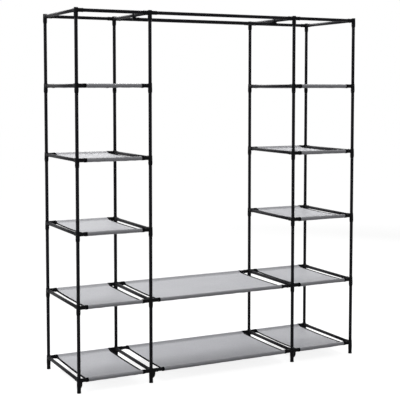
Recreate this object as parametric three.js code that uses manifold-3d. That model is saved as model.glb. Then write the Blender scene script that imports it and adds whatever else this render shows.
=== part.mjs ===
// Knock-down wardrobe rack: steel tubes pushed into moulded connectors, with fabric shelves sleeved
// over the cross bars and a hanging rod in the wide middle bay.
// Millimetres. +X is to the right, +Y to the back and +Z up. The origin is on the floor, under the
// middle of the rack.

import * as THREE from 'three';
import { mergeVertices } from 'three/addons/utils/BufferGeometryUtils.js';
import Module from 'manifold-3d';

const wasm = await Module();
wasm.setup();

// Overall height, and from tube axis to tube axis the width, the wide middle bay and the depth
const rackHeight = 1750;
const rackWidth = 1505;
const wideBay = 785;
const rackDepth = 440;
// Height of the lowest bars' axis, and how many levels of shelves the bays have
const lowestLevel = 58;
const shelfCount = 5;
const wideShelfCount = 2;

// Steel tube
const tubeRadius = 8;
const tubeSides = 8;

// Socket arm of a connector, measured from the post's axis
const armRadius = 9.2;
const lipRadius = 9.6;
const lipLength = 6;
const armMouth = 34;
const socketStop = 12;
const socketClearance = 0.32;
const endClearance = 0.3;

// Barrel of a connector, measured from the arms' axis
const barrelRadius = 10.1;
const barrelDrop = 24;
const collarRadius = 9;
const collarDrop = 34;
const stubRadius = 9.2;
const stubHeight = 12;
const capRadius = 9.4;
const capHeight = 12;

// Foot of the lowest connectors, measured from the floor
const footRimRadius = 9.6;
const footRimHeight = 4;
const footWaistRadius = 9;
const footWaistHeight = 14;
const cornerGussetReach = 16;
const innerGussetReach = 21;
const gussetDrop = 36;
const gussetThickness = 6;
const gussetSink = 2;
// Outline of a gusset, as shares of its reach beyond the post's axis and of its drop below the arm's axis
const gussetOutlineShares = [[1, 0.55], [0.93, 0.72], [0.75, 0.88], [0.5, 1]];

// Fabric shelf
const fabricThickness = 1.6;
const panelThickness = 2.4;
const sleeveClearance = 0.4;
const seamDistance = 26;
const seamDrop = 1.5;
const narrowSag = 3;
const wideSag = 4;
const shelfEndGap = 1;
// How much shorter than its room a wide shelf is cut, and how far off the middle each one lies, from the
// lowest
const wideShelfSlack = 24;
const wideShelfShifts = [10, -10];
const sleeveSteps = 9;
// Half the angle, about the bar's axis, in which a sleeve opens towards the panel
const sleeveHalfMouth = Math.PI * 5 / 12;
const sagSteps = 6;

// Hanging rod, how far from the middle of the depth it lies, and the two clips that carry it on the top
// side rails
const rodDrop = 18;
const rodPlace = -35;
const clipRingRadius = 10.8;
const clipWidth = 18;
const clipNeckThickness = 8;
const clipSocketBack = 9;
const clipSocketMouth = 26;
const clipSocketStop = 4;

// A cut starts and ends this far outside what it cuts
const overrun = 1;
const weldDistance = 1e-4;
const fullTurn = Math.PI * 2;
const halfFacet = Math.PI / tubeSides;

const narrowBay = (rackWidth - wideBay) / 2;
const topLevel = rackHeight - capHeight;
const levelPitch = (topLevel - lowestLevel) / shelfCount;
const levels = Array.from({ length: shelfCount + 1 }, (_, index) => lowestLevel + levelPitch * index);
const boreRadius = tubeRadius + socketClearance;
const innerColumn = wideBay / 2;
const outerColumn = innerColumn + narrowBay;
const columns = [
  { name: 'left_outer', x: -outerColumn, isOuter: true, inward: 'right', outward: 'left' },
  { name: 'left_inner', x: -innerColumn, isOuter: false, inward: 'right', outward: 'left' },
  { name: 'right_inner', x: innerColumn, isOuter: false, inward: 'left', outward: 'right' },
  { name: 'right_outer', x: outerColumn, isOuter: true, inward: 'left', outward: 'right' },
];
// A foot is braced only if it has an arm on its row's braced side
const rows = [
  { name: 'front', y: -rackDepth / 2, inward: 'back', bracedSide: 'right' },
  { name: 'back', y: rackDepth / 2, inward: 'front', bracedSide: 'left' },
];
const bays = [
  { name: 'left', from: columns[0], to: columns[1], shelves: shelfCount },
  { name: 'middle', from: columns[1], to: columns[2], shelves: wideShelfCount },
  { name: 'right', from: columns[2], to: columns[3], shelves: shelfCount },
];

const steel = new THREE.MeshStandardMaterial({ color: 0x17171b, roughness: 0.42, metalness: 0.25 });
const plastic = new THREE.MeshStandardMaterial({ color: 0x111114, roughness: 0.55, metalness: 0 });
const fabric = new THREE.MeshStandardMaterial({ color: 0xb9babf, roughness: 0.95, metalness: 0 });

// Solids, and the ways to place them

function toSolid(geometry) {
  const bare = geometry.clone();
  bare.deleteAttribute('normal');
  bare.deleteAttribute('uv');
  const welded = mergeVertices(bare, weldDistance);
  const corners = welded.index.array;
  const triangles = [];
  for (let i = 0; i < corners.length; i += 3) {
    const [a, b, c] = [corners[i], corners[i + 1], corners[i + 2]];
    if (a !== b && b !== c && c !== a) triangles.push(a, b, c);
  }
  return new wasm.Manifold(new wasm.Mesh({
    numProp: 3,
    vertProperties: new Float32Array(welded.attributes.position.array),
    triVerts: new Uint32Array(triangles),
  }));
}

function toGeometry(solid) {
  const mesh = solid.getMesh();
  const geometry = new THREE.BufferGeometry();
  geometry.setAttribute('position', new THREE.BufferAttribute(new Float32Array(mesh.vertProperties), 3));
  geometry.setIndex(new THREE.BufferAttribute(new Uint32Array(mesh.triVerts), 1));
  return geometry;
}

// A turned form about +Z. The profile is a list of [radius, height] from its low end to its high end.
function turned(profile) {
  const points = profile.map(([radius, height]) => new THREE.Vector2(radius, height));
  return new THREE.LatheGeometry(points, tubeSides, halfFacet).rotateX(Math.PI / 2);
}

// Turns what is built along +Z so that it runs towards one side of the rack
const towards = {
  right: 0,
  back: Math.PI / 2,
  left: Math.PI,
  front: -Math.PI / 2,
};

function facing(geometry, direction) {
  const lyingDown = new THREE.Matrix4().makeBasis(
    new THREE.Vector3(0, 1, 0), new THREE.Vector3(0, 0, 1), new THREE.Vector3(1, 0, 0));
  const turn = new THREE.Matrix4().makeRotationZ(towards[direction]);
  return geometry.applyMatrix4(turn.multiply(lyingDown));
}

function rod(radius, from, to) {
  return turned([[0, from], [radius, from], [radius, to], [0, to]]);
}

// Connectors

function socketArm(direction) {
  return facing(turned([
    [0, 0], [armRadius, 0], [armRadius, armMouth - lipLength], [lipRadius, armMouth], [0, armMouth],
  ]), direction);
}

function socketBore(direction) {
  return facing(rod(boreRadius, socketStop, armMouth + overrun), direction);
}

function middleBarrel() {
  return turned([
    [0, -collarDrop], [collarRadius, -collarDrop], [barrelRadius, -barrelDrop], [stubRadius, stubHeight],
    [0, stubHeight],
  ]);
}

function topBarrel() {
  return turned([
    [0, -collarDrop], [collarRadius, -collarDrop], [barrelRadius, -barrelDrop], [capRadius, capHeight],
    [0, capHeight],
  ]);
}

function footBarrel() {
  return turned([
    [0, -lowestLevel], [footRimRadius, -lowestLevel], [footRimRadius, footRimHeight - lowestLevel],
    [footWaistRadius, footWaistHeight - lowestLevel], [barrelRadius, -barrelDrop], [stubRadius, stubHeight],
    [0, stubHeight],
  ]);
}

// The fin under an arm of a foot, drawn outwards and downwards from where the axes cross
function gusset(direction, reach) {
  const outline = new THREE.Shape();
  outline.moveTo(gussetSink, -gussetSink);
  gussetOutlineShares.slice().reverse().forEach(([reachShare, dropShare]) => {
    outline.lineTo(reach * reachShare, -gussetDrop * dropShare);
  });
  outline.lineTo(reach, -gussetSink);
  const plate = new THREE.ExtrudeGeometry(outline, { depth: gussetThickness, bevelEnabled: false });
  plate.translate(0, 0, -gussetThickness / 2).rotateX(Math.PI / 2);
  return plate.rotateZ(towards[direction]);
}

// What one connector holds: a barrel, its arms, which of them are bored, and its gussets
function armsAt(column, row, levelIndex) {
  const isTop = levelIndex === shelfCount;
  const arms = [{ direction: row.inward, bored: true }];
  if (column.isOuter) {
    arms.push({ direction: column.inward, bored: isTop });
  } else {
    arms.push({ direction: column.outward, bored: true });
    if (isTop || levelIndex < wideShelfCount) arms.push({ direction: column.inward, bored: true });
  }
  return arms;
}

// The gussets of a foot: under both arms in a corner, and only under the arm on the braced side elsewhere
function gussetsUnder(arms, isCorner, bracedSide) {
  if (!arms.some((arm) => arm.direction === bracedSide)) return [];
  if (isCorner) return arms.map((arm) => gusset(arm.direction, cornerGussetReach));
  return [gusset(bracedSide, innerGussetReach)];
}

function connectorParts(column, row, levelIndex) {
  const arms = armsAt(column, row, levelIndex);
  const isFoot = levelIndex === 0;
  const barrel = isFoot ? footBarrel() : (levelIndex === shelfCount ? topBarrel() : middleBarrel());
  const added = [barrel, ...arms.map((arm) => socketArm(arm.direction))];
  if (isFoot) added.push(...gussetsUnder(arms, column.isOuter, row.bracedSide));
  const cut = arms.filter((arm) => arm.bored).map((arm) => socketBore(arm.direction));
  return { added, cut };
}

// Posts: the upright tubes with the connectors pushed onto them. An outer post also holds the bars of
// its narrow shelves, whose other ends seat in the sockets of the inner post.

function narrowBar(direction) {
  return facing(rod(tubeRadius, 0, narrowBay - socketStop - endClearance), direction);
}

function postSolid(column, row) {
  const upright = rod(tubeRadius, lowestLevel, topLevel);
  let post = toSolid(upright);
  levels.forEach((height, levelIndex) => {
    const { added, cut } = connectorParts(column, row, levelIndex);
    added.forEach((geometry) => {
      post = post.add(toSolid(geometry.translate(0, 0, height)));
    });
    cut.forEach((geometry) => {
      post = post.subtract(toSolid(geometry.translate(0, 0, height)));
    });
    if (column.isOuter && levelIndex < shelfCount) {
      post = post.add(toSolid(narrowBar(column.inward).translate(0, 0, height)));
    }
  });
  return post;
}

// Loose tubes, each seated in the sockets of two posts

function looseTube(span, direction) {
  const half = span / 2 - socketStop - endClearance;
  return facing(rod(tubeRadius, -half, half), direction);
}

// Fabric shelves

function ringPoints(radius, centre, fromAngle, toAngle, steps) {
  return Array.from({ length: steps + 1 }, (_, step) => {
    const angle = fromAngle + (toAngle - fromAngle) * step / steps;
    return new THREE.Vector2(centre + radius * Math.cos(angle), radius * Math.sin(angle));
  });
}

function sagPoints(from, to, offset, sag) {
  return Array.from({ length: sagSteps + 1 }, (_, step) => {
    const along = step / sagSteps;
    const drop = seamDrop + sag * (1 - (2 * along - 1) ** 2);
    return new THREE.Vector2(from + (to - from) * along, offset - drop);
  });
}

// The section of a shelf across its bars: a teardrop sleeve at each end and the sagging panel between
function shelfSection(sag) {
  const centre = rackDepth / 2;
  const seam = centre - seamDistance;
  const sleeve = tubeRadius + sleeveClearance + fabricThickness;
  const wrap = Math.PI - sleeveHalfMouth;
  const frontArc = ringPoints(sleeve, -centre, Math.PI - wrap, Math.PI + wrap, sleeveSteps);
  const backArc = ringPoints(sleeve, centre, -wrap, wrap, sleeveSteps);
  const section = new THREE.Shape([
    ...frontArc,
    ...sagPoints(-seam, seam, -panelThickness / 2, sag),
    ...backArc,
    ...sagPoints(seam, -seam, panelThickness / 2, sag),
  ]);
  [-centre, centre].forEach((bar) => {
    const inside = tubeRadius + sleeveClearance;
    const aroundBar = ringPoints(inside, bar, halfFacet, halfFacet + fullTurn, tubeSides);
    section.holes.push(new THREE.Path(aroundBar.slice(0, -1)));
  });
  return section;
}

function shelfGeometry(width, sag) {
  const sheet = new THREE.ExtrudeGeometry(shelfSection(sag), { depth: width, bevelEnabled: false });
  return facing(sheet.translate(0, 0, -width / 2), 'right');
}

// Rod clip: a ring round the side rail, a neck, and a socket below that takes the rod's end

function clipSolid(direction) {
  const ring = facing(rod(clipRingRadius, -clipWidth / 2, clipWidth / 2), 'back');
  const railBore = facing(rod(boreRadius, -clipWidth / 2 - overrun, clipWidth / 2 + overrun), 'back');
  const socket = facing(turned([
    [0, -clipSocketBack], [armRadius, -clipSocketBack], [armRadius, clipSocketMouth - lipLength],
    [lipRadius, clipSocketMouth], [0, clipSocketMouth],
  ]), direction).translate(0, 0, -rodDrop);
  const rodBore = facing(rod(boreRadius, clipSocketStop, clipSocketMouth + overrun), direction);
  const neck = new THREE.BoxGeometry(clipNeckThickness, clipWidth, rodDrop).translate(0, 0, -rodDrop / 2);
  return toSolid(ring).add(toSolid(neck)).add(toSolid(socket))
    .subtract(toSolid(railBore)).subtract(toSolid(rodBore.translate(0, 0, -rodDrop)));
}

// Assembly

const rack = new THREE.Group();

function place(name, geometry, material, x, y, z) {
  const mesh = new THREE.Mesh(geometry, material);
  mesh.name = name;
  mesh.position.set(x, y, z);
  rack.add(mesh);
}

function addPosts() {
  columns.forEach((column) => {
    rows.forEach((row) => {
      const post = toGeometry(postSolid(column, row));
      place(`post_${column.name}_${row.name}`, post, steel, column.x, row.y, 0);
    });
  });
}

function addSideRails() {
  columns.forEach((column) => {
    levels.forEach((height, levelIndex) => {
      const rail = looseTube(rackDepth, 'back');
      place(`side_rail_${column.name}_${levelIndex + 1}`, rail, steel, column.x, 0, height);
    });
  });
}

function addLongRails() {
  const middle = bays[1];
  rows.forEach((row) => {
    bays.forEach((bay) => {
      const rail = looseTube(bay.to.x - bay.from.x, 'right');
      place(`top_rail_${bay.name}_${row.name}`, rail, steel, (bay.from.x + bay.to.x) / 2, row.y, topLevel);
    });
    levels.slice(0, wideShelfCount).forEach((height, levelIndex) => {
      place(`wide_bar_${levelIndex + 1}_${row.name}`, looseTube(wideBay, 'right'), steel,
        (middle.from.x + middle.to.x) / 2, row.y, height);
    });
  });
}

function addShelves() {
  bays.forEach((bay) => {
    const isNarrow = bay.shelves === shelfCount;
    const sag = isNarrow ? narrowSag : wideSag;
    const room = bay.to.x - bay.from.x - (armMouth + shelfEndGap) * 2;
    const width = isNarrow ? room : room - wideShelfSlack;
    levels.slice(0, bay.shelves).forEach((height, levelIndex) => {
      const shift = isNarrow ? 0 : wideShelfShifts[levelIndex];
      place(`shelf_${bay.name}_${levelIndex + 1}`, shelfGeometry(width, sag), fabric,
        (bay.from.x + bay.to.x) / 2 + shift, 0, height);
    });
  });
}

function addHangingRod() {
  const half = wideBay / 2 - clipSocketStop - endClearance;
  const bar = facing(rod(tubeRadius, -half, half), 'right');
  place('hanging_rod', bar, steel, 0, rodPlace, topLevel - rodDrop);
  place('rod_clip_left', toGeometry(clipSolid('right')), plastic, -innerColumn, rodPlace, topLevel);
  place('rod_clip_right', toGeometry(clipSolid('left')), plastic, innerColumn, rodPlace, topLevel);
}

addPosts();
addSideRails();
addLongRails();
addShelves();
addHangingRod();

export default rack;
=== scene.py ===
"""Looks of a knock-down wardrobe rack: tubes, moulded connectors, fabric shelves and a hanging rod.

Metres, with +X to the right, +Y to the back and +Z up.
Places come from the frame, and the small sizes are named below.
"""

import math

import bpy
import numpy as np
from mathutils import Matrix, Vector


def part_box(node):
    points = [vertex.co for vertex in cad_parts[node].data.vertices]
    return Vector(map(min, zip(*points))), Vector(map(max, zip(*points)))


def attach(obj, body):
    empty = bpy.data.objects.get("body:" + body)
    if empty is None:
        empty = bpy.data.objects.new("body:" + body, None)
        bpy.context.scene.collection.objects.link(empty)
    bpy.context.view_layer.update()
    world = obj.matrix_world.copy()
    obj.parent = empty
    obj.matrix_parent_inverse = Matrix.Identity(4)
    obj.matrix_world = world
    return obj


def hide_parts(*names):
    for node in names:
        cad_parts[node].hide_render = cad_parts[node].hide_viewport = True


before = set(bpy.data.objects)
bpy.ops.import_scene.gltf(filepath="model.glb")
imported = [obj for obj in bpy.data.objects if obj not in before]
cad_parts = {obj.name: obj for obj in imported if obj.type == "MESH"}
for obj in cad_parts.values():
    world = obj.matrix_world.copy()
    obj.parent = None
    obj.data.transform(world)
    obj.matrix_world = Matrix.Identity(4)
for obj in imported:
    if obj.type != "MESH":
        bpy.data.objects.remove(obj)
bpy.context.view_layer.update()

# Columns, rows and levels, with their places from the frame
COLUMNS = ("left_outer", "left_inner", "right_inner", "right_outer")
ROWS = ("front", "back")
LEVEL_COUNT = 6
SHELF_LEVELS = 5
WIDE_LEVELS = 2


def middle_of(node):
    low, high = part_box(node)
    return (low + high) / 2


COLUMN_X = {name: middle_of(f"side_rail_{name}_1").x for name in COLUMNS}
ROW_Y = {name: middle_of(f"top_rail_middle_{name}").y for name in ROWS}
LEVEL_Z = [middle_of(f"side_rail_left_outer_{level + 1}").z for level in range(LEVEL_COUNT)]
TOP_LEVEL = LEVEL_COUNT - 1
BAYS = {
    "left": ("left_outer", "left_inner"),
    "middle": ("left_inner", "right_inner"),
    "right": ("right_inner", "right_outer"),
}
DIRECTIONS = {
    "right": Vector((1, 0, 0)),
    "left": Vector((-1, 0, 0)),
    "back": Vector((0, 1, 0)),
}

# Tubes
TUBE_RADIUS = 0.008
TUBE_WALL = 0.0005
TUBE_CHAMFER = 0.0003
TUBE_SEGMENTS = 40
END_FACE_NORMAL_Z = 0.9

# Connectors
ARM_RADIUS = 0.0091
ARM_ROOT_RADIUS = 0.0094
LIP_RADIUS = 0.0096
LIP_LENGTH = 0.0055
LIP_FULL_SHARE = 0.8
ARM_MOUTH = 0.034
SOCKET_STOP = 0.012
SOCKET_CLEARANCE = 0.00025
SOCKET_RADIUS = TUBE_RADIUS + SOCKET_CLEARANCE
MOUTH_CHAMFER = 0.0004
BARREL_RADIUS = 0.0101
BARREL_DROP = 0.024
COLLAR_RADIUS = 0.0090
COLLAR_DROP = 0.034
STUB_RADIUS = 0.0092
STUB_HEIGHT = 0.012
UPPER_STOP = 0.006
LOWER_STOP = 0.012
CAP_RADIUS = 0.0094
CAP_HEIGHT = 0.012
FOOT_RIM_RADIUS = 0.0096
FOOT_RIM_HEIGHT = 0.004
FOOT_WAIST_RADIUS = 0.0090
FOOT_WAIST_HEIGHT = 0.014
CORNER_GUSSET_REACH = 0.016
INNER_GUSSET_REACH = 0.021
GUSSET_DROP = 0.036
GUSSET_THICKNESS = 0.006
GUSSET_SHARES = ((0, 0), (1, 0.05), (1, 0.55), (0.93, 0.72), (0.75, 0.88), (0.5, 1), (0, 1))
FILLET = 0.0022
EDGE_ROUNDING = 0.0005

# Meshing of the mouldings
NET_STEP = 0.00105
NET_MARGIN = 0.003
SLOPE_REACH = NET_STEP / 10
TINY = 1e-12
SETTLE_LIMIT = NET_STEP / 2
KEPT_FACES_SHARE = 0.3
WELD_REACH = 0.00001
SHARP_ANGLE = math.radians(35)

# Hanging rod
ROD_DROP = LEVEL_Z[TOP_LEVEL] - middle_of("hanging_rod").z
ROD_Y = middle_of("hanging_rod").y
CLIP_RING_RADIUS = 0.0108
CLIP_WIDTH = 0.018
CLIP_NECK_THICKNESS = 0.008
CLIP_NECK_TOP_SHARE = 0.9
CLIP_SOCKET_BACK = 0.009
CLIP_SOCKET_MOUTH = 0.026
CLIP_SOCKET_STOP = 0.004

# Fabric shelves
CLOTH_THICKNESS = 0.0007
SLEEVE_CLEARANCE = 0.0003
SEAM_DISTANCE = 0.026
SEAM_DROP = 0.0015
SLEEVE_SLACK = 0.0008
LAP_LENGTH = 0.009
LAP_GAP = 0.0017
SAG = {"left": 0.0025, "middle": 0.002, "right": 0.0025}
SAG_SPREAD_SHARE = 0.12
EDGE_DROOP = 0.0005
EDGE_DROOP_REACH = 0.03
RIPPLE_HEIGHT = 0.0006
GATHER_HEIGHT = 0.0004
GATHER_REACH = 0.05
GATHER_START = 0.01
SLACK_SPREAD_SHARE = 0.12
SLACK_START = 0.002
CLOTH_STEP = 0.006
ARC_POINTS = 18
LINE_POINTS = 4
PANEL_POINTS = 52

# Lengths of the cloth's waves, each as the shortest and the longest, and how many are added up
WAVE_COUNT = 7
SAG_WAVES = (0.25, 0.5)
SAG_WAVE_COUNT = 3
RIPPLE_WAVES = (0.09, 0.3)
GATHER_WAVES = (0.018, 0.05)
SLACK_WAVES = (0.03, 0.12)
SHORT_WAVE_COUNT = 5

# How dark a sleeve is painted, for its bar showing through and as painted shade on its lower and outer side:
# the rise in degrees from which it isn't, and how far off it fades out
# Painted shade: the front sleeve is darkened below the top of its bar, and the back sleeve over its top as
# well
FRONT_BAR_AND_SHADE = (80, 0.004)
BACK_BAR_AND_SHADE = (150, 0.012)
BAR_AND_SHADE_DISTANCE = 0.001
BAR_AND_SHADE_FADE_ANGLE = 120

# What the cloth's meshes carry for its materials: the flat places, and how dark the sleeves are painted, for
# the bar showing through and as painted shade
CLOTH_MAP = "cloth"
BAR_AND_SHADE_ATTRIBUTE = "bar_and_painted_shade"

# Binding tape and stitches
TAPE_WIDTH = 0.01
TAPE_THICKNESS = 0.0006
TAPE_CLEARANCE = 0.00015
TAPE_FOLD_POINTS = 4
TAPE_SEAM_SHARE = 0.75
STITCH_PITCH = 0.0042
STITCH_LENGTH = 0.003
STITCH_RADIUS = 0.00028
STITCH_SIDES = 6
STITCH_START_SHARE = 0.15

# A stitch along its length, as shares: where its rings lie, how thick they are and how far they rise
STITCH_PLACE_SHARES = (0, 0.12, 0.5, 0.88, 1)
STITCH_SWELL_SHARES = (0.25, 0.9, 1, 0.9, 0.25)
STITCH_RISE_SHARES = (-0.6, 0.35, 0.7, 0.35, -0.6)

# Colours, each as its two ends and then what lies over them
COAT_COLOURS = ((0.015, 0.0148, 0.0178), (0.0215, 0.0212, 0.0252))
COAT_RUB_COLOUR = (0.03, 0.03, 0.033)
PLASTIC_COLOURS = ((0.0095, 0.0095, 0.0108), (0.0138, 0.0138, 0.0155))
PLASTIC_EDGE_COLOUR = (0.022, 0.022, 0.0245)
FABRIC_COLOURS = ((0.598, 0.602, 0.634), (0.668, 0.672, 0.704))
FABRIC_PATCH_COLOUR = (0.583, 0.587, 0.624)
FABRIC_FIBRE_COLOUR = (0.518, 0.522, 0.553)
FABRIC_DOT_COLOUR = (0.5, 0.504, 0.538)
# The sleeves' darker colour: the bar showing through, and painted shade
FABRIC_BAR_AND_SHADE_COLOUR = (0.41, 0.41, 0.44)
TAPE_COLOURS = ((0.010, 0.010, 0.012), (0.024, 0.024, 0.027))
SEAM_THREAD_COLOUR = (0.52, 0.52, 0.545)
TAPE_THREAD_COLOUR = (0.02, 0.02, 0.022)
THREAD_SHADE_SHARE = 0.7
FLOOR_COLOUR = (0.5, 0.5, 0.5, 1)
WHITE = (1, 1, 1, 1)

# Camera, fitted to the photograph
CAMERA_PLACE = (-2.2401, -4.3675, 1.3803)
CAMERA_YAW = math.radians(26.933)
CAMERA_PITCH = math.radians(3.85)
CAMERA_LENS = 87.775
CAMERA_SHIFT_Y = -0.11
CAMERA_FAR = 60.0

# Stage. The floor glows less round the place that the lamps light most, from the near reach to the far one.
FLOOR_SIZE = 60.0
FLOOR_GAP = 0.0002
FLOOR_GLOW = 0.9
LIT_GLOW = 0.6
LIT_PLACE = (0.5, 2.4, 0)
LIT_SHAPE_SHARES = (0.6, 1, 1)
LIT_REACH = (0.8, 2.8)
AMBIENT = 0.2

# A lamp has a name, a place, what it aims at, a size and a power.
LAMPS = (
    ("overhead", (-0.3, -0.5, 3.9), (0, 0, 0.8), (3.2, 2.2), 13),
    ("left", (-3.6, -0.2, 2.0), (0, 0, 0.9), (2.4, 2.0), 32),
    ("right_back", (3.2, 2.2, 2.2), (0, 0, 0.9), (2.4, 2.0), 31),
    ("back_high", (0, 3.2, 3.4), (0, 0, 0.9), (3.0, 1.6), 104),
)


# Distances to solids. A distance is negative inside, and points are rows of an array.


def outline_distance(points, outline):
    """Distance in a plane to a closed outline."""
    nearest = np.full(len(points), np.inf)
    sign = np.ones(len(points))
    for start, end in zip(outline, np.roll(outline, -1, axis=0)):
        edge = end - start
        away = points - start
        share = np.clip(away @ edge / (edge @ edge), 0, 1)
        gap = away - share[:, None] * edge
        nearest = np.minimum(nearest, (gap**2).sum(axis=1))
        above_start = points[:, 1] >= start[1]
        below_end = points[:, 1] < end[1]
        left = edge[0] * away[:, 1] > edge[1] * away[:, 0]
        sign[(above_start & below_end & left) | ~(above_start | below_end | left)] *= -1
    return sign * np.sqrt(nearest)


def inset(outline, amount):
    """The outline, which runs anticlockwise, moved inwards by amount, with mitred corners."""
    outline = np.array(outline, float)
    before = outline - np.roll(outline, 1, axis=0)
    after = np.roll(outline, -1, axis=0) - outline
    before /= np.linalg.norm(before, axis=1)[:, None]
    after /= np.linalg.norm(after, axis=1)[:, None]
    inward = np.stack([-before[:, 1] - after[:, 1], before[:, 0] + after[:, 0]], axis=1)
    return outline + inward * amount / (1 + (before * after).sum(axis=1))[:, None]


def rounded_outline_distance(points, outline):
    """The same with the corners rounded."""
    return outline_distance(points, inset(outline, EDGE_ROUNDING)) - EDGE_ROUNDING


def turned_distance(points, axis, profile):
    """A turned solid. The profile is rows of (radius, height) along the axis, from its low end upwards."""
    along = points @ axis
    radius = np.linalg.norm(points - along[:, None] * axis, axis=1)
    outline = [(-r, h) for r, h in reversed(profile)] + list(profile)
    return rounded_outline_distance(np.stack([radius, along], axis=1), outline)


def joined(first, second):
    """Two solids as one, with a fillet where they meet."""
    overlap = np.maximum(FILLET - np.abs(first - second), 0) / FILLET
    return np.minimum(first, second) - overlap**2 * FILLET / 4


def plate_distance(points, direction, outline, thickness):
    """A plate in the plane of a direction and the upright, as thick as given."""
    up = np.array((0.0, 0.0, 1.0))
    side = np.cross(up, direction)
    flat = np.stack([points @ direction, points @ up], axis=1)
    across = np.abs(points @ side) - thickness / 2 + EDGE_ROUNDING
    inside = rounded_outline_distance(flat, outline) + EDGE_ROUNDING
    outer = np.sqrt(np.maximum(inside, 0) ** 2 + np.maximum(across, 0) ** 2)
    return outer + np.minimum(np.maximum(inside, across), 0) - EDGE_ROUNDING


# Meshes from distances


def net_vertices(field, origin):
    """The number of each grid cell that the surface crosses, else -1, and one vertex in each such cell."""
    size = np.array(field.shape) - 1
    total = np.zeros((*size, 3))
    count = np.zeros(size)
    corners = [np.array((i, j, k)) for i in (0, 1) for j in (0, 1) for k in (0, 1)]
    for first in corners:
        for second in corners:
            if (second - first).sum() != 1 or (second - first).min() < 0:
                continue
            a, b = (field[tuple(slice(o, o + n) for o, n in zip(c, size))] for c in (first, second))
            crossed = (a < 0) != (b < 0)
            share = np.where(crossed, a / np.where(crossed, a - b, 1), 0)
            total += crossed[..., None] * (first + share[..., None] * (second - first))
            count += crossed
    used = count > 0
    number = np.full(size, -1)
    number[used] = np.arange(used.sum())
    cells = np.argwhere(used)
    return number, origin + (cells + total[used] / count[used][:, None]) * NET_STEP


def net_faces(field, number):
    """A quad round each grid edge that the surface crosses, facing outwards."""
    faces = []
    inside = field < 0
    for axis in range(3):
        one, two = (axis + 1) % 3, (axis + 2) % 3
        near = [slice(1, -1)] * 3
        far = list(near)
        near[axis], far[axis] = slice(0, -1), slice(1, None)
        starts, ends = inside[tuple(near)], inside[tuple(far)]
        for leaving, order in ((starts & ~ends, (0, 1, 2, 3)), (~starts & ends, (3, 2, 1, 0))):
            cells = np.argwhere(leaving)
            cells[:, one] += 1
            cells[:, two] += 1
            corners = []
            for step_one, step_two in ((-1, -1), (0, -1), (0, 0), (-1, 0)):
                cell = cells.copy()
                cell[:, one] += step_one
                cell[:, two] += step_two
                corners.append(number[tuple(cell.T)])
            faces.append(np.stack([corners[i] for i in order], axis=1))
    return np.concatenate(faces)


def settled(points, distance):
    """The points moved onto the surface, along the distance's slope."""
    here = distance(points)
    steps = SLOPE_REACH * np.eye(3)
    slope = np.stack([distance(points + step) - distance(points - step) for step in steps], axis=1)
    slope /= np.maximum(np.linalg.norm(slope, axis=1), TINY)[:, None]
    return points - slope * np.clip(here, -SETTLE_LIMIT, SETTLE_LIMIT)[:, None]


def blind_bore(axis, start, mouth, low=0.0):
    """A bore as its axis, how low it lies, and a profile of (radius, height) rows. Its mouth is chamfered."""
    wide = SOCKET_RADIUS + MOUTH_CHAMFER
    profile = [
        (SOCKET_RADIUS, start), (SOCKET_RADIUS, mouth - MOUTH_CHAMFER), (wide, mouth), (wide, 2 * mouth),
    ]
    return axis, low, profile


def through_bore(axis, half):
    """The same as a bore that is chamfered at both ends."""
    axis, low, profile = blind_bore(axis, 0, half)
    return axis, low, [(radius, -height) for radius, height in profile[:0:-1]] + profile[1:]


def bores_mesh(bores):
    """The closed solids that are cut away as bores."""
    points, faces = [], []
    for axis, low, profile in bores:
        turn = Vector((0, 0, 1)).rotation_difference(axis)
        down = Vector((0, 0, low))
        faces += shifted(closed_ring_faces(len(profile), TUBE_SEGMENTS), len(points))
        points += [turn @ Vector(point) - down for point in round_points(profile)]
    return mesh_of("bores", points, faces)


def moulded_mesh(name, distance, low, high, bores):
    """The mesh of a moulded solid, thinned where it is flat and then bored."""
    low = np.array(low) - NET_MARGIN
    counts = np.ceil((np.array(high) + NET_MARGIN - low) / NET_STEP).astype(int)
    grid = np.stack(np.meshgrid(*[np.arange(n) for n in counts], indexing="ij"), axis=-1)
    field = distance(low + grid.reshape(-1, 3) * NET_STEP).reshape(counts)
    number, points = net_vertices(field, low)
    mesh = bpy.data.meshes.new(name)
    mesh.from_pydata(settled(points, distance).tolist(), [], net_faces(field, number).tolist())
    whole = bpy.data.objects.new(name, mesh)
    bpy.context.scene.collection.objects.link(whole)
    thin = whole.modifiers.new("thin", "DECIMATE")
    thin.ratio = KEPT_FACES_SHARE
    thin.use_collapse_triangulate = True
    cutter = bpy.data.objects.new("bores", bores_mesh(bores))
    bpy.context.scene.collection.objects.link(cutter)
    cut = whole.modifiers.new("bores", "BOOLEAN")
    cut.operation = "DIFFERENCE"
    cut.solver = "EXACT"
    cut.object = cutter
    weld = whole.modifiers.new("weld", "WELD")
    weld.merge_threshold = WELD_REACH
    made = bpy.data.meshes.new_from_object(whole.evaluated_get(bpy.context.evaluated_depsgraph_get()))
    bpy.data.objects.remove(whole)
    bpy.data.objects.remove(cutter)
    made.name = name
    made.shade_smooth()
    made.set_sharp_from_angle(angle=SHARP_ANGLE)
    return made


# Plain meshes


def mesh_of(name, points, faces):
    mesh = bpy.data.meshes.new(name)
    mesh.from_pydata(np.asarray(points).tolist(), [], faces)
    mesh.update()
    mesh.shade_smooth()
    return mesh


def round_points(profile):
    """A ring of points for each (radius, height) of a profile about +Z."""
    angles = np.linspace(0, 2 * math.pi, TUBE_SEGMENTS, endpoint=False)
    return [(r * math.cos(a), r * math.sin(a), h) for r, h in profile for a in angles]


def ring_faces(count, sides, endless=False):
    """Quads between rings of points, one after the other. Endless joins the last ring to the first."""
    faces = []
    for ring in range(count if endless else count - 1):
        here = ring * sides
        after = (ring + 1) % count * sides
        for side in range(sides):
            beside = (side + 1) % sides
            faces.append((here + side, here + beside, after + beside, after + side))
    return faces


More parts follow.
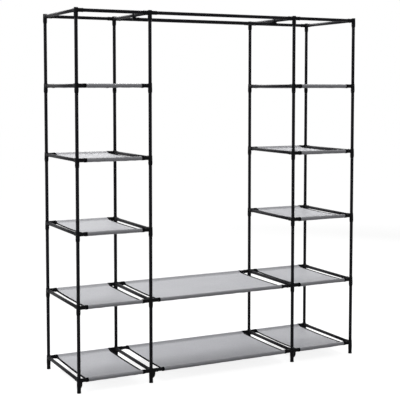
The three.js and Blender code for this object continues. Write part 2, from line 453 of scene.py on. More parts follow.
def closed_ring_faces(count, sides):
    """Quads between rings of points, and a face over each end."""
    last = (count - 1) * sides
    ends = [tuple(range(sides))[::-1], tuple(range(last, last + sides))]
    return ring_faces(count, sides) + ends


def shifted(faces, start):
    """The faces with their points counted from start."""
    return [tuple(start + i for i in face) for face in faces]


def add_flat_map(mesh, flat):
    """The flat place of each point of the cloth, as a UV map."""
    corners = np.zeros(len(mesh.loops), int)
    mesh.loops.foreach_get("vertex_index", corners)
    layer = mesh.uv_layers.new(name=CLOTH_MAP)
    layer.data.foreach_set("uv", flat[corners].ravel())


# Materials


def node_material(name):
    material = bpy.data.materials.new(name)
    material.use_nodes = True
    tree = material.node_tree
    return material, tree, tree.nodes["Principled BSDF"]


def add_node(tree, kind, **values):
    """A node with the values of its named sockets, and with its settings, which start with set_."""
    node = tree.nodes.new(kind)
    for key, value in values.items():
        if key.startswith("set_"):
            setattr(node, key[4:], value)
        else:
            node.inputs[key.replace("_", " ")].default_value = value
    return node


def place_noise(tree, scale, detail=3.0, roughness=0.55):
    """Noise in the object's own metres. Returns its socket."""
    place = tree.nodes.new("ShaderNodeTexCoord")
    noise = add_node(tree, "ShaderNodeTexNoise", Scale=scale, Detail=detail, Roughness=roughness)
    tree.links.new(place.outputs["Object"], noise.inputs["Vector"])
    return noise.outputs["Fac"]


def spread(tree, value, low, high, to_low=0, to_high=1):
    """Maps a value from one span to another."""
    node = add_node(tree, "ShaderNodeMapRange", From_Min=low, From_Max=high, To_Min=to_low, To_Max=to_high)
    tree.links.new(value, node.inputs["Value"])
    return node.outputs["Result"]


def colour_mix(tree, factor, first, second):
    """A mix of two colours, each an RGB triple or a socket. The factor is a socket."""
    node = tree.nodes.new("ShaderNodeMix")
    node.data_type = "RGBA"
    for key, value in (("Factor_Float", factor), ("A_Color", first), ("B_Color", second)):
        socket = next(s for s in node.inputs if s.identifier == key)
        if isinstance(value, bpy.types.NodeSocket):
            tree.links.new(value, socket)
        else:
            socket.default_value = (*value, 1)
    return next(s for s in node.outputs if s.identifier == "Result_Color")


def bumped(tree, surface, height, strength, distance, before=None):
    """Gives the surface a bump, on top of the one before. Returns the socket of its normal."""
    bump = add_node(tree, "ShaderNodeBump", Strength=strength, Distance=distance)
    tree.links.new(height, bump.inputs["Height"])
    if before is not None:
        tree.links.new(before, bump.inputs["Normal"])
    tree.links.new(bump.outputs["Normal"], surface.inputs["Normal"])
    return bump.outputs["Normal"]


def powder_coat():
    """Black powder coat: orange peel, faint cloudiness and a few dull rubs."""
    material, tree, surface = node_material("powder_coat")
    cloud = place_noise(tree, scale=14.0, detail=4.0)
    rubs = spread(tree, place_noise(tree, scale=55.0, detail=6.0, roughness=0.7), 0.6, 0.72)
    base = colour_mix(tree, spread(tree, cloud, 0.35, 0.65), *COAT_COLOURS)
    worn = colour_mix(tree, rubs, base, COAT_RUB_COLOUR)
    tree.links.new(worn, surface.inputs["Base Color"])
    tree.links.new(spread(tree, cloud, 0.3, 0.7, 0.42, 0.52), surface.inputs["Roughness"])
    surface.inputs["Specular IOR Level"].default_value = 0.05
    bumped(tree, surface, place_noise(tree, scale=900.0, detail=2.0), strength=0.15, distance=0.00003)
    return material


def moulded_plastic():
    """Black moulded plastic: sparked grain, faint flow marks and paler worn edges."""
    material, tree, surface = node_material("moulded_plastic")
    flow = place_noise(tree, scale=38.0)
    geometry = tree.nodes.new("ShaderNodeNewGeometry")
    edges = spread(tree, geometry.outputs["Pointiness"], 0.53, 0.6)
    base = colour_mix(tree, spread(tree, flow, 0.3, 0.7), *PLASTIC_COLOURS)
    worn = colour_mix(tree, edges, base, PLASTIC_EDGE_COLOUR)
    tree.links.new(worn, surface.inputs["Base Color"])
    tree.links.new(spread(tree, flow, 0.3, 0.7, 0.48, 0.62), surface.inputs["Roughness"])
    surface.inputs["Specular IOR Level"].default_value = 0.05
    bumped(tree, surface, place_noise(tree, scale=1500.0, detail=1.0), strength=0.3, distance=0.00004)
    return material


def bond_dots(tree, pitch, across_share, tall_share):
    """The staggered dots of a bonded non-woven, from 0 between them to 1 in the middle of one."""
    place = add_node(tree, "ShaderNodeUVMap", set_uv_map=CLOTH_MAP)
    scale = add_node(tree, "ShaderNodeMapping", Scale=(1 / pitch, 1 / pitch, 1))
    tree.links.new(place.outputs["UV"], scale.inputs["Vector"])
    dots = []
    for shift in (0.0, 0.5):
        moved = add_node(tree, "ShaderNodeVectorMath", set_operation="ADD")
        moved.inputs[1].default_value = (shift, shift, 0)
        tree.links.new(scale.outputs["Vector"], moved.inputs[0])
        cell = add_node(tree, "ShaderNodeVectorMath", set_operation="FRACTION")
        tree.links.new(moved.outputs["Vector"], cell.inputs[0])
        centred = add_node(tree, "ShaderNodeVectorMath", set_operation="MULTIPLY_ADD")
        centred.inputs[1].default_value = (1 / across_share, 1 / tall_share, 0)
        centred.inputs[2].default_value = (-0.5 / across_share, -0.5 / tall_share, 0)
        tree.links.new(cell.outputs["Vector"], centred.inputs[0])
        length = add_node(tree, "ShaderNodeVectorMath", set_operation="LENGTH")
        tree.links.new(centred.outputs["Vector"], length.inputs[0])
        dots.append(spread(tree, length.outputs["Value"], 0.6, 1.0, 1, 0))
    both = add_node(tree, "ShaderNodeMath", set_operation="MAXIMUM")
    tree.links.new(dots[0], both.inputs[0])
    tree.links.new(dots[1], both.inputs[1])
    return both.outputs["Value"]


def shelf_fabric():
    """Light grey non-woven: fibre mottling, bonded dots, and its sleeves darkened for the bar showing through
    and as painted shade.
    """
    material, tree, surface = node_material("shelf_fabric")
    dots = bond_dots(tree, pitch=0.0022, across_share=0.26, tall_share=0.2)
    fibres = place_noise(tree, scale=2600.0, roughness=0.7)
    mottle = place_noise(tree, scale=90.0, detail=5.0, roughness=0.65)
    patches = place_noise(tree, scale=7.0)
    plain = colour_mix(tree, spread(tree, mottle, 0.35, 0.65), *FABRIC_COLOURS)
    soft = colour_mix(tree, spread(tree, patches, 0.35, 0.65, to_high=0.5), plain, FABRIC_PATCH_COLOUR)
    thin = colour_mix(tree, spread(tree, fibres, 0.3, 0.7, to_high=0.22), soft, FABRIC_FIBRE_COLOUR)
    dotted = colour_mix(tree, spread(tree, dots, 0, 1, to_high=0.3), thin, FABRIC_DOT_COLOUR)
    # Painted shade: a mask darkens the sleeves, for the bar showing through and for shade on their lower side
    bar_and_painted_shade = add_node(tree, "ShaderNodeAttribute", set_attribute_name=BAR_AND_SHADE_ATTRIBUTE)
    shown = colour_mix(tree, bar_and_painted_shade.outputs["Fac"], dotted, FABRIC_BAR_AND_SHADE_COLOUR)
    tree.links.new(shown, surface.inputs["Base Color"])
    surface.inputs["Roughness"].default_value = 0.5
    surface.inputs["Specular IOR Level"].default_value = 0.25
    surface.inputs["Sheen Weight"].default_value = 0.1
    surface.inputs["Sheen Roughness"].default_value = 0.45
    grain = bumped(tree, surface, fibres, strength=0.15, distance=0.0002)
    pressed = add_node(tree, "ShaderNodeMath", set_operation="MULTIPLY")
    pressed.inputs[1].default_value = -1.0
    tree.links.new(dots, pressed.inputs[0])
    bumped(tree, surface, pressed.outputs["Value"], strength=0.3, distance=0.00015, before=grain)
    return material


def binding_tape():
    """Black folded tape with fine cross ribs."""
    material, tree, surface = node_material("binding_tape")
    place = add_node(tree, "ShaderNodeUVMap", set_uv_map=CLOTH_MAP)
    ribs = add_node(tree, "ShaderNodeTexWave", Scale=320.0, Distortion=0.6, Detail=1.0)
    ribs.bands_direction = "Y"
    tree.links.new(place.outputs["UV"], ribs.inputs["Vector"])
    dust = place_noise(tree, scale=400.0, detail=4.0)
    base = colour_mix(tree, spread(tree, dust, 0.4, 0.7), *TAPE_COLOURS)
    tree.links.new(base, surface.inputs["Base Color"])
    surface.inputs["Roughness"].default_value = 0.85
    surface.inputs["Specular IOR Level"].default_value = 0.0
    bumped(tree, surface, ribs.outputs["Fac"], strength=0.4, distance=0.0002)
    return material


def thread(name, colour):
    """Spun thread, fuzzy in its tint and its bump."""
    material, tree, surface = node_material(name)
    fuzz = place_noise(tree, scale=3000.0, detail=2.0)
    shaded = tuple(c * THREAD_SHADE_SHARE for c in colour)
    spun = colour_mix(tree, spread(tree, fuzz, 0.35, 0.65), colour, shaded)
    tree.links.new(spun, surface.inputs["Base Color"])
    surface.inputs["Roughness"].default_value = 0.8
    bumped(tree, surface, fuzz, strength=0.5, distance=0.0002)
    return material


MATERIALS = {
    "tube": powder_coat(),
    "connector": moulded_plastic(),
    "fabric": shelf_fabric(),
    "binding": binding_tape(),
    "seam_thread": thread("seam_thread", SEAM_THREAD_COLOUR),
    "tape_thread": thread("tape_thread", TAPE_THREAD_COLOUR),
}


# Pieces


def piece(name, mesh, materials, body="frame", replaces=(), place=None):
    """Adds an object with its materials, its body and the nodes that it takes the place of."""
    for material in materials:
        if material not in mesh.materials[:]:
            mesh.materials.append(material)
    made = bpy.data.objects.new(name, mesh)
    bpy.context.scene.collection.objects.link(made)
    if place is not None:
        made.matrix_world = place
    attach(made, body)
    if replaces:
        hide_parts(*replaces)
    return made


def lying(direction, x, y, z):
    """The place of what is built along +Z from its own origin, turned to run along a direction."""
    turn = Vector((0, 0, 1)).rotation_difference(DIRECTIONS[direction]).to_matrix().to_4x4()
    return Matrix.Translation((x, y, z)) @ turn


TUBE_MESHES = {}


def tube_mesh(length):
    """A tube along +Z with its middle at the origin, hollow, with its end edges broken and its ends flat."""
    key = round(length, 6)
    if key not in TUBE_MESHES:
        half = length / 2
        inner = TUBE_RADIUS - TUBE_WALL
        small = TUBE_RADIUS - TUBE_CHAMFER
        profile = [
            (small, -half), (TUBE_RADIUS, TUBE_CHAMFER - half),
            (TUBE_RADIUS, half - TUBE_CHAMFER), (small, half),
            (inner, half), (inner, -half),
        ]
        faces = ring_faces(len(profile), TUBE_SEGMENTS, endless=True)
        mesh = mesh_of("tube", round_points(profile), faces)
        for face in mesh.polygons:
            face.use_smooth = abs(face.normal.z) < END_FACE_NORMAL_Z
        TUBE_MESHES[key] = mesh
    return TUBE_MESHES[key]


def add_tube(name, direction, centre, length, replaces=(), body="frame"):
    if direction == "up":
        place = Matrix.Translation(centre)
    else:
        place = lying(direction, *centre)
    return piece(name, tube_mesh(length), [MATERIALS["tube"]], body, replaces, place)


def add_uprights():
    """The upright sections. Each stands on the stub of one connector and ends in the socket of the next."""
    for column in COLUMNS:
        for row in ROWS:
            for level in range(SHELF_LEVELS):
                bottom = LEVEL_Z[level] + UPPER_STOP
                top = LEVEL_Z[level + 1] - LOWER_STOP
                centre = (COLUMN_X[column], ROW_Y[row], (bottom + top) / 2)
                add_tube(f"upright_{column}_{row}_{level + 1}", "up", centre, top - bottom)


def add_side_rails():
    for column in COLUMNS:
        for level in range(LEVEL_COUNT):
            node = f"side_rail_{column}_{level + 1}"
            low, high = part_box(node)
            add_tube(f"{node}_tube", "back", middle_of(node), high.y - low.y, [node])


def add_long_rails():
    """The top rails, the bars of the wide shelves and those of the narrow ones."""
    for row in ROWS:
        nodes = [f"top_rail_{bay}_{row}" for bay in BAYS]
        nodes += [f"wide_bar_{level + 1}_{row}" for level in range(WIDE_LEVELS)]
        for node in nodes:
            low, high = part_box(node)
            add_tube(f"{node}_tube", "right", middle_of(node), high.x - low.x, [node])
        for bay in ("left", "right"):
            start, end = (COLUMN_X[name] for name in BAYS[bay])
            length = end - start - 2 * SOCKET_STOP
            for level in range(SHELF_LEVELS):
                centre = ((start + end) / 2, ROW_Y[row], LEVEL_Z[level])
                add_tube(f"narrow_bar_{bay}_{row}_{level + 1}", "right", centre, length)


# Connectors


def barrel_profile(kind):
    """The barrel's turned profile about the post's axis, with 0 at the height of the arms' axes."""
    if kind == "foot":
        floor = -LEVEL_Z[0]
        lower = [
            (FOOT_RIM_RADIUS, floor), (FOOT_RIM_RADIUS, floor + FOOT_RIM_HEIGHT),
            (FOOT_WAIST_RADIUS, floor + FOOT_WAIST_HEIGHT), (BARREL_RADIUS, -BARREL_DROP),
        ]
    else:
        lower = [(COLLAR_RADIUS, -COLLAR_DROP), (BARREL_RADIUS, -BARREL_DROP)]
    upper = (CAP_RADIUS, CAP_HEIGHT) if kind == "top" else (STUB_RADIUS, STUB_HEIGHT)
    return [*lower, upper]


def mouth_profile(mouth):
    """The last rows of an arm's or a clip's profile, up to its mouth: a short step and the raised lip."""
    full = mouth - LIP_LENGTH * LIP_FULL_SHARE
    return [(ARM_RADIUS, mouth - LIP_LENGTH), (LIP_RADIUS, full), (LIP_RADIUS, mouth)]


def connector_distance(kind, arms, braced, reach):
    """The distance to a connector without its bores, with a gusset under each braced arm."""
    up = np.array((0.0, 0.0, 1.0))
    arm_profile = [(ARM_ROOT_RADIUS, 0), *mouth_profile(ARM_MOUTH)]
    gusset = [(reach * along, -GUSSET_DROP * drop) for along, drop in reversed(GUSSET_SHARES)]

    def distance(points):
        body = turned_distance(points, up, barrel_profile(kind))
        for arm in arms:
            body = joined(body, turned_distance(points, np.array(DIRECTIONS[arm]), arm_profile))
        for arm in braced:
            body = joined(body, plate_distance(points, np.array(DIRECTIONS[arm]), gusset, GUSSET_THICKNESS))
        return body

    return distance


def connector_mesh(kind, arms, braced, reach):
    """A connector about the point where its arms' axes cross the post's axis."""
    low = [-BARREL_RADIUS, -BARREL_RADIUS, -LEVEL_Z[0] if kind == "foot" else -COLLAR_DROP]
    high = [BARREL_RADIUS, BARREL_RADIUS, max(STUB_HEIGHT, CAP_HEIGHT)]
    for arm in arms:
        mouth = np.array(DIRECTIONS[arm]) * ARM_MOUTH
        low = np.minimum(low, mouth)
        high = np.maximum(high, mouth)
    name = f"{kind}_connector_{len(arms)}_{len(braced)}"
    bores = [blind_bore(DIRECTIONS[arm], SOCKET_STOP, ARM_MOUTH) for arm in arms]
    if kind != "foot":
        bores.append(blind_bore(Vector((0, 0, -1)), LOWER_STOP, COLLAR_DROP))
    if kind != "top":
        bores.append(blind_bore(Vector((0, 0, 1)), UPPER_STOP, STUB_HEIGHT))
    return moulded_mesh(name, connector_distance(kind, arms, braced, reach), low, high, bores)


# Each connector is one of seven mouldings. These are their arms and how many quarter turns each is given.
CORNER = ("right", "back")
TEE = ("right", "back", "left")
PLAIN_FEET = (("right_outer", "front"), ("left_outer", "back"))
CORNER_TURNS = {
    ("left_outer", "front"): 0, ("right_outer", "front"): 1,
    ("right_outer", "back"): 2, ("left_outer", "back"): 3,
    ("right_inner", "front"): 0, ("left_inner", "front"): 1,
    ("left_inner", "back"): 2, ("right_inner", "back"): 3,
}
TEE_TURNS = {"front": 0, "back": 2}


def add_connectors():
    meshes = {}
    for column in COLUMNS:
        for row in ROWS:
            for level in range(LEVEL_COUNT):
                kind = {0: "foot", TOP_LEVEL: "top"}.get(level, "middle")
                is_tee = "inner" in column and (level < WIDE_LEVELS or level == TOP_LEVEL)
                arms = TEE if is_tee else CORNER
                braced = ()
                if kind == "foot" and (column, row) not in PLAIN_FEET:
                    braced = ("right",) if is_tee else CORNER
                if (kind, arms, braced) not in meshes:
                    reach = INNER_GUSSET_REACH if is_tee else CORNER_GUSSET_REACH
                    meshes[kind, arms, braced] = connector_mesh(kind, arms, braced, reach)
                turns = TEE_TURNS[row] if is_tee else CORNER_TURNS[column, row]
                turn = Matrix.Rotation(turns * math.pi / 2, 4, "Z")
                place = Matrix.Translation((COLUMN_X[column], ROW_Y[row], LEVEL_Z[level])) @ turn
                replaced = [f"post_{column}_{row}"] if level == 0 else []
                name = f"connector_{column}_{row}_{level + 1}"
                mesh = meshes[kind, arms, braced]
                piece(name, mesh, [MATERIALS["connector"]], replaces=replaced, place=place)


# Hanging rod


def clip_distance(points):
    """A clip without its bores: a ring round the side rail, a neck and a lower socket that faces right."""
    along, right = np.array((0.0, 1.0, 0.0)), np.array((1.0, 0.0, 0.0))
    half = CLIP_WIDTH / 2
    top = half * CLIP_NECK_TOP_SHARE
    ring = turned_distance(points, along, [(CLIP_RING_RADIUS, -half), (CLIP_RING_RADIUS, half)])
    below = points + np.array((0, 0, ROD_DROP))
    socket_profile = [(ARM_RADIUS, -CLIP_SOCKET_BACK), *mouth_profile(CLIP_SOCKET_MOUTH)]
    socket = turned_distance(below, right, socket_profile)
    outline = [(-half, -ROD_DROP), (half, -ROD_DROP), (top, 0), (-top, 0)]
    neck = plate_distance(points, along, outline, CLIP_NECK_THICKNESS)
    return joined(joined(ring, neck), socket)


def add_hanging_rod():
    """The rod and its two clips. Both are the same moulding, and the right one is turned half round."""
    rod = "hanging_rod"
    body = "rod_assembly"
    low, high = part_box(rod)
    add_tube(f"{rod}_tube", "right", middle_of(rod), high.x - low.x, [rod], body)
    corner = (-CLIP_RING_RADIUS, -CLIP_RING_RADIUS, -ROD_DROP - LIP_RADIUS)
    far_corner = (CLIP_SOCKET_MOUTH, CLIP_RING_RADIUS, CLIP_RING_RADIUS)
    bores = [
        through_bore(DIRECTIONS["back"], CLIP_WIDTH / 2),
        blind_bore(DIRECTIONS["right"], CLIP_SOCKET_STOP, CLIP_SOCKET_MOUTH, ROD_DROP),
    ]
    mesh = moulded_mesh("rod_clip", clip_distance, corner, far_corner, bores)
    for side, angle in (("left", 0), ("right", math.pi)):
        turn = Matrix.Rotation(angle, 4, "Z")
        place = Matrix.Translation((COLUMN_X[f"{side}_inner"], ROD_Y, LEVEL_Z[TOP_LEVEL])) @ turn
        name = f"rod_clip_{side}"
        piece(f"{name}_moulding", mesh, [MATERIALS["connector"]], body, [name], place)


# Fabric shelves


def sleeve_line():
    """The front end of a shelf's section, as rows of (distance inwards from the bar's axis, height).

    It starts with the lap under the panel and goes under the bar and round its outer side to the seam on top.
    """
    radius = TUBE_RADIUS + SLEEVE_CLEARANCE + CLOTH_THICKNESS / 2
    seam = np.array((SEAM_DISTANCE, -SEAM_DROP))
    lap = seam - (0, LAP_GAP)
    lap_end = lap + (LAP_LENGTH, 0)

    def tangent_angle(point, side):
        return math.atan2(point[1], point[0]) + side * math.acos(radius / np.hypot(*point))

    start, end = tangent_angle(lap, -1), tangent_angle(seam, 1) - 2 * math.pi
    angles = np.linspace(start, end, ARC_POINTS)
    arc = np.stack([radius * np.cos(angles), radius * np.sin(angles)], axis=1)
    under = np.linspace(lap, arc[0], LINE_POINTS, endpoint=False)
    over = np.linspace(arc[-1], seam, LINE_POINTS + 1)[1:]
    line = np.concatenate([np.linspace(lap_end, lap, LINE_POINTS, endpoint=False), under, arc, over[:-1]])
    # The underside hangs slack below the bar.
    turn = (np.arctan2(-line[:, 1], line[:, 0]) + math.pi) % (2 * math.pi) - math.pi
    below = (line[:, 1] < 0) & (line[:, 0] < SEAM_DISTANCE)
    line[:, 1] -= SLEEVE_SLACK * np.where(below, np.sin(np.clip(turn, 0, math.pi)) ** 2, 0)
    return line


def run_along(line):
    """The distance along a line of points, at each of them."""
    return np.concatenate([[0], np.cumsum(np.linalg.norm(np.diff(line, axis=0), axis=1))])


def smooth_step(value):
    value = np.clip(value, 0, 1)
    return value * value * (3 - 2 * value)


def sum_of_waves(random, x, y, lengths, count=WAVE_COUNT):
    """A smooth surface of waves in random directions, between -1 and 1."""
    total = 0
    for _ in range(count):
        length = random.uniform(*lengths)
        heading = random.uniform(0, math.pi)
        phase = random.uniform(0, 2 * math.pi)
        total = total + np.sin(2 * math.pi * (x * math.cos(heading) + y * math.sin(heading)) / length + phase)
    return total / count


def shelf_surface(bay, half, seed):
    """The middle surface of a shelf's cloth, about the shelf's own middle.

    Returns the points as an array of (across, along the section, xyz), the flat place of each, and how dark
    each is painted, for the bar showing through and as painted shade.
    """
    random = np.random.default_rng(seed)
    depth = ROW_Y["back"]
    sleeve = sleeve_line()
    panel_share = np.linspace(0, 1, PANEL_POINTS)
    seam_y = depth - SEAM_DISTANCE
    front = np.stack([-depth + sleeve[:, 0], sleeve[:, 1]], axis=1)
    panel = np.stack([-seam_y + 2 * seam_y * panel_share, np.full(PANEL_POINTS, -SEAM_DROP)], axis=1)
    section = np.concatenate([front, panel, (front * (-1, 1))[::-1]])
    run = run_along(section)
    # How dark each row is painted: the bar showing through, and painted shade on the sleeves' lower side and
    # the back sleeve's top
    bar_and_painted_shade = np.concatenate([
        bar_and_painted_shade_share(sleeve, *FRONT_BAR_AND_SHADE), np.zeros(PANEL_POINTS), bar_and_painted_shade_share(sleeve, *BACK_BAR_AND_SHADE)[::-1],
    ])

    columns = int(round(2 * half / CLOTH_STEP)) + 1
    across = np.linspace(-half, half, columns)
    x, y = np.meshgrid(across, section[:, 0], indexing="ij")
    z = np.repeat(section[None, :, 1], columns, axis=0)
    share = np.zeros(len(section))
    first = len(sleeve)
    share[first:first + PANEL_POINTS] = panel_share
    bow = 4 * share * (1 - share)
    edge_gap = half - np.abs(x)
    sag = SAG[bay] * (1 + SAG_SPREAD_SHARE * sum_of_waves(random, x, 0, SAG_WAVES, SAG_WAVE_COUNT))
    z -= sag * bow + EDGE_DROOP * bow * np.exp(-((edge_gap / EDGE_DROOP_REACH) ** 2))
    # Long soft waves over the panel, and short gathers that run out of the seams
    z += RIPPLE_HEIGHT * np.sqrt(bow) * sum_of_waves(random, x, y, RIPPLE_WAVES)
    seam_gap = seam_y - np.abs(y)
    fade = np.where(bow > 0, np.exp(-seam_gap / GATHER_REACH) * smooth_step(seam_gap / GATHER_START), 0)
    z += GATHER_HEIGHT * fade * sum_of_waves(random, x, 0, GATHER_WAVES, SHORT_WAVE_COUNT)
    slack = np.clip(-z - SEAM_DROP, 0, None) * (np.abs(y) > seam_y + SLACK_START)
    z += SLACK_SPREAD_SHARE * slack * sum_of_waves(random, x, 0, SLACK_WAVES, SHORT_WAVE_COUNT)
    flat = np.stack(np.meshgrid(across, run, indexing="ij"), axis=-1)
    return np.stack([x, y, z], axis=-1), flat, np.repeat(bar_and_painted_shade[None], columns, axis=0)


def bar_and_painted_shade_share(sleeve, loose_angle, reach):
    """How dark each row of the sleeve is painted, for the bar showing through and as painted shade.

    That is nothing above the loose angle, in degrees of rise from the bar's axis. It is more the lower the
    row lies, as painted shade, and less the farther it is from the bar.
    """
    away = np.hypot(sleeve[:, 0], sleeve[:, 1]) - TUBE_RADIUS
    rise = np.degrees(np.arcsin(np.clip(sleeve[:, 1] / (TUBE_RADIUS + away), -1, 1)))
    near = smooth_step(1 - (away - BAR_AND_SHADE_DISTANCE) / reach)
    # Painted shade: darker the lower the row lies
    return near * smooth_step((loose_angle - rise) / BAR_AND_SHADE_FADE_ANGLE)


def unit(vectors):
    return vectors / np.linalg.norm(vectors, axis=-1)[..., None]


def grid_normals(points):
    """The upper side's normal at each point of a sheet."""
    return unit(np.cross(np.gradient(points, axis=0), np.gradient(points, axis=1)))


def cloth_mesh(name, points, flat, bar_and_painted_shade):
    """A closed sheet of the cloth's thickness about its middle surface, with its flat places as a UV map."""
    normal = grid_normals(points) * CLOTH_THICKNESS / 2
    columns, rows = points.shape[:2]
    count = columns * rows
    number = np.arange(count).reshape(columns, rows)
    corners = [number[:-1, :-1], number[1:, :-1], number[1:, 1:], number[:-1, 1:]]
    upper = np.stack(corners, axis=-1).reshape(-1, 4)
    rim = np.concatenate([number[:, 0], number[-1, 1:], number[-2::-1, -1], number[0, -2:0:-1]])
    after = np.roll(rim, -1)
    edge = np.stack([rim + count, after + count, after, rim], axis=1)
    faces = np.concatenate([upper, upper[:, ::-1] + count, edge])
    both_sides = np.concatenate([points + normal, points - normal]).reshape(-1, 3)
    mesh = mesh_of(name, both_sides, faces.tolist())
    add_flat_map(mesh, np.tile(flat.reshape(-1, 2), (2, 1)))
    # The sleeves' show-through and painted shade, as a point attribute
    shade = mesh.attributes.new(BAR_AND_SHADE_ATTRIBUTE, "FLOAT", "POINT")
    shade.data.foreach_set("value", np.tile(bar_and_painted_shade.ravel(), 2))
    return mesh


# The two bound edges of a cloth: the column of the edge, and a column farther in that gives the way inwards
BOUND_EDGES = ((0, 2), (-1, -3))


def tape_points(points, edge_column, inner_column):
    """The sections of a binding tape folded over one edge of the cloth, one for each point along the edge.

    A section runs on the tape's outer face from its upper end, round the edge, to its lower end. It comes
    back on the inner face.
    """
    edge = points[edge_column]
    inward = unit(points[inner_column] - edge)
    normal = grid_normals(points)[edge_column]
    rows = []
    near = CLOTH_THICKNESS / 2 + TAPE_CLEARANCE
    far = near + TAPE_THICKNESS
    for gap, order in ((far, 1), (near, -1)):
        folded = [edge + inward * TAPE_WIDTH * share + normal * gap for share in (1, 0.5, 0)]
        for angle in np.linspace(0, math.pi, TAPE_FOLD_POINTS + 2)[1:-1]:
            folded.append(edge - inward * gap * math.sin(angle) + normal * gap * math.cos(angle))
        folded += [edge + inward * TAPE_WIDTH * share - normal * gap for share in (0, 0.5, 1)]
        rows += folded[::order]
    return np.stack(rows, axis=1)


def binding_mesh(name, points, flat):
    """The two closed tapes of a shelf."""
    all_points, all_faces, all_flat = [], [], []
    for edge_column, inner_column in BOUND_EDGES:
        section = tape_points(points, edge_column, inner_column)
        if edge_column < 0:
            section = section[:, ::-1]
        rows, sides = section.shape[:2]
        all_faces += shifted(closed_ring_faces(rows, sides), len(all_points) * rows * sides)
        all_points.append(section.reshape(-1, 3))
        width = np.linspace(0, 2 * TAPE_WIDTH, sides)
        run = flat[0, :, 1]
        all_flat.append(np.stack(np.meshgrid(run, width, indexing="ij")[::-1], axis=-1).reshape(-1, 2))
    mesh = mesh_of(name, np.concatenate(all_points), all_faces)
    add_flat_map(mesh, np.concatenate(all_flat))
    return mesh


def stitch_run(line, normals):
    """Stitches along a line of points: a short rounded thread in each pitch. Returns points and faces."""
    run = run_along(line)
    count = int(run[-1] / STITCH_PITCH)
    rings = len(STITCH_PLACE_SHARES)
    starts = (np.arange(count)[:, None] + STITCH_START_SHARE) * STITCH_PITCH
    places = starts + np.array(STITCH_PLACE_SHARES) * STITCH_LENGTH
    centre = np.stack([np.interp(places, run, line[:, i]) for i in range(3)], axis=-1)
    up = np.stack([np.interp(places, run, normals[:, i]) for i in range(3)], axis=-1)
    side = np.cross(unit(centre[:, -1:] - centre[:, :1]), up)
    centre += up * STITCH_RADIUS * np.array(STITCH_RISE_SHARES)[:, None]
    angles = np.linspace(0, 2 * math.pi, STITCH_SIDES, endpoint=False)[:, None]
    ring = side[:, :, None] * np.cos(angles) + up[:, :, None] * np.sin(angles)
    points = centre[:, :, None] + ring * STITCH_RADIUS * np.array(STITCH_SWELL_SHARES)[:, None, None]
    one = closed_ring_faces(rings, STITCH_SIDES)
    faces = []
    for number in range(count):
        faces += shifted(one, number * rings * STITCH_SIDES)
    return points.reshape(-1, 3), faces


def stitching_mesh(name, points):
    """The seam stitches along both sleeves, then those along both binding tapes in the second material."""
    normal = grid_normals(points)
    first = len(sleeve_line())
    last = first + PANEL_POINTS - 1
    over_cloth = CLOTH_THICKNESS / 2
    over_tape = over_cloth + TAPE_CLEARANCE + TAPE_THICKNESS
    inside = int(round(TAPE_WIDTH / CLOTH_STEP)) + 1
    between_tapes = slice(inside, -inside)
    runs = []
    for row in (first, last):
        up = normal[between_tapes, row]
        runs.append((points[between_tapes, row] + up * over_cloth, up, 0))
    seam_to_seam = slice(first - LINE_POINTS, last + LINE_POINTS)
    for edge_column, inner_column in BOUND_EDGES:
        edge = points[edge_column]
        up = normal[edge_column]
        line = edge + unit(points[inner_column] - edge) * TAPE_WIDTH * TAPE_SEAM_SHARE + up * over_tape
        runs.append((line[seam_to_seam], up[seam_to_seam], 1))
    all_points, all_faces, kinds = [], [], []
    for line, up, kind in runs:
        stitches, faces = stitch_run(line, up)
        all_faces += shifted(faces, sum(len(p) for p in all_points))
        all_points.append(stitches)
        kinds += [kind] * len(faces)
    mesh = mesh_of(name, np.concatenate(all_points), all_faces)
    mesh.polygons.foreach_set("material_index", kinds)
    return mesh


def add_shelf(bay, level, seed):
    name = f"shelf_{bay}_{level + 1}"
    low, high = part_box(name)
    half = (high.x - low.x) / 2
    place = Matrix.Translation((low.x + half, 0, LEVEL_Z[level]))
    points, flat, bar_and_painted_shade = shelf_surface(bay, half, seed)
    mesh = cloth_mesh(name, points, flat, bar_and_painted_shade)
    cloth = piece(f"{name}_cloth", mesh, [MATERIALS["fabric"]], replaces=[name], place=place)
    mesh = binding_mesh(name, points, flat)
    tape = piece(f"{name}_binding", mesh, [MATERIALS["binding"]], place=place)
    mesh = stitching_mesh(name, points)
    threads = [MATERIALS["seam_thread"], MATERIALS["tape_thread"]]
    stitches = piece(f"{name}_stitching", mesh, threads, place=place)


def add_shelves():
    seed = 1
    for bay in BAYS:
        for level in range(WIDE_LEVELS if bay == "middle" else SHELF_LEVELS):
            add_shelf(bay, level, seed)
            seed += 1


# Stage, lights and camera


STRAIGHT = ("Is Camera Ray",)
REFLECTED = ("Is Glossy Ray", "Is Transmission Ray")


def ray_share(tree, kinds):
    """1 for rays of these kinds, otherwise 0."""
    path = tree.nodes.new("ShaderNodeLightPath")
    share = path.outputs[kinds[0]]
    for kind in kinds[1:]:
        either = add_node(tree, "ShaderNodeMath", set_operation="MAXIMUM")
        tree.links.new(share, either.inputs[0])
        tree.links.new(path.outputs[kind], either.inputs[1])
        share = either.outputs["Value"]
    return share


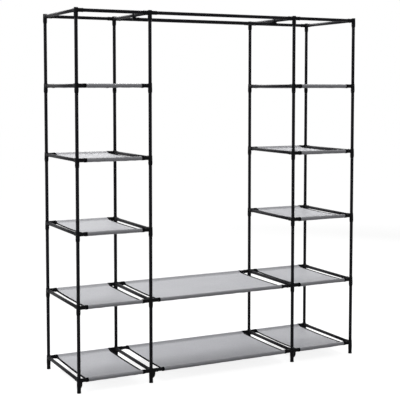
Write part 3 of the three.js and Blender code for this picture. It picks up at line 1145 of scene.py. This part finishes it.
def add_floor():
    """A grey floor that glows for the camera, about white with a faint shadow. Reflections show it white."""
    material = bpy.data.materials.new("floor")
    material.use_nodes = True
    tree = material.node_tree
    tree.nodes.clear()
    paper = add_node(tree, "ShaderNodeBsdfDiffuse", Color=FLOOR_COLOUR)
    glow = add_node(tree, "ShaderNodeEmission", Color=WHITE)
    white = add_node(tree, "ShaderNodeEmission", Color=WHITE, Strength=1)
    # The glow is weaker where the lamps light the floor most, so that the whole floor shows about white.
    place = tree.nodes.new("ShaderNodeTexCoord")
    offset = [-along * share for along, share in zip(LIT_PLACE, LIT_SHAPE_SHARES)]
    from_lit = add_node(tree, "ShaderNodeMapping", Location=offset, Scale=LIT_SHAPE_SHARES)
    away = add_node(tree, "ShaderNodeVectorMath", set_operation="LENGTH")
    tree.links.new(place.outputs["Object"], from_lit.inputs["Vector"])
    tree.links.new(from_lit.outputs["Vector"], away.inputs[0])
    even = spread(tree, away.outputs["Value"], *LIT_REACH, LIT_GLOW, FLOOR_GLOW)
    shown = add_node(tree, "ShaderNodeMath", set_operation="MULTIPLY")
    tree.links.new(even, shown.inputs[0])
    tree.links.new(ray_share(tree, STRAIGHT), shown.inputs[1])
    tree.links.new(shown.outputs["Value"], glow.inputs["Strength"])
    lit = tree.nodes.new("ShaderNodeAddShader")
    either = tree.nodes.new("ShaderNodeMixShader")
    out = tree.nodes.new("ShaderNodeOutputMaterial")
    tree.links.new(paper.outputs["BSDF"], lit.inputs[0])
    tree.links.new(glow.outputs["Emission"], lit.inputs[1])
    tree.links.new(ray_share(tree, REFLECTED), either.inputs["Fac"])
    tree.links.new(lit.outputs["Shader"], either.inputs[1])
    tree.links.new(white.outputs["Emission"], either.inputs[2])
    tree.links.new(either.outputs["Shader"], out.inputs["Surface"])
    half = FLOOR_SIZE / 2
    corners = [(-half, -half, 0), (half, -half, 0), (half, half, 0), (-half, half, 0)]
    mesh = mesh_of("floor", corners, [(0, 1, 2, 3)])
    mesh.materials.append(material)
    floor = bpy.data.objects.new("floor", mesh)
    floor.location.z = -FLOOR_GAP
    bpy.context.scene.collection.objects.link(floor)


def add_world():
    """White behind everything, and a plain even light from all round."""
    world = bpy.data.worlds.new("studio")
    world.use_nodes = True
    bpy.context.scene.world = world
    tree = world.node_tree
    background = tree.nodes["Background"]
    background.inputs["Color"].default_value = WHITE
    share = ray_share(tree, STRAIGHT + REFLECTED)
    tree.links.new(spread(tree, share, 0, 1, AMBIENT, 1), background.inputs["Strength"])


def add_lamp(name, place, aim, size, power):
    lamp = bpy.data.lights.new(name, "AREA")
    lamp.shape = "RECTANGLE"
    lamp.size, lamp.size_y = size
    lamp.energy = power
    made = bpy.data.objects.new(name, lamp)
    made.location = place
    made.rotation_euler = (Vector(aim) - Vector(place)).to_track_quat("-Z", "Y").to_euler()
    made.visible_camera = False
    bpy.context.scene.collection.objects.link(made)


def add_camera():
    data = bpy.data.cameras.new("camera")
    data.lens = CAMERA_LENS
    data.shift_y = CAMERA_SHIFT_Y
    data.clip_end = CAMERA_FAR
    camera = bpy.data.objects.new("camera", data)
    camera.location = CAMERA_PLACE
    camera.rotation_euler = (math.pi / 2 - CAMERA_PITCH, 0, -CAMERA_YAW)
    bpy.context.scene.collection.objects.link(camera)
    bpy.context.scene.camera = camera


add_camera()
add_uprights()
add_side_rails()
add_long_rails()
add_connectors()
add_hanging_rod()
add_shelves()
add_floor()
add_world()
for lamp in LAMPS:
    add_lamp(*lamp)

bpy.context.scene.view_settings.view_transform = "Standard"
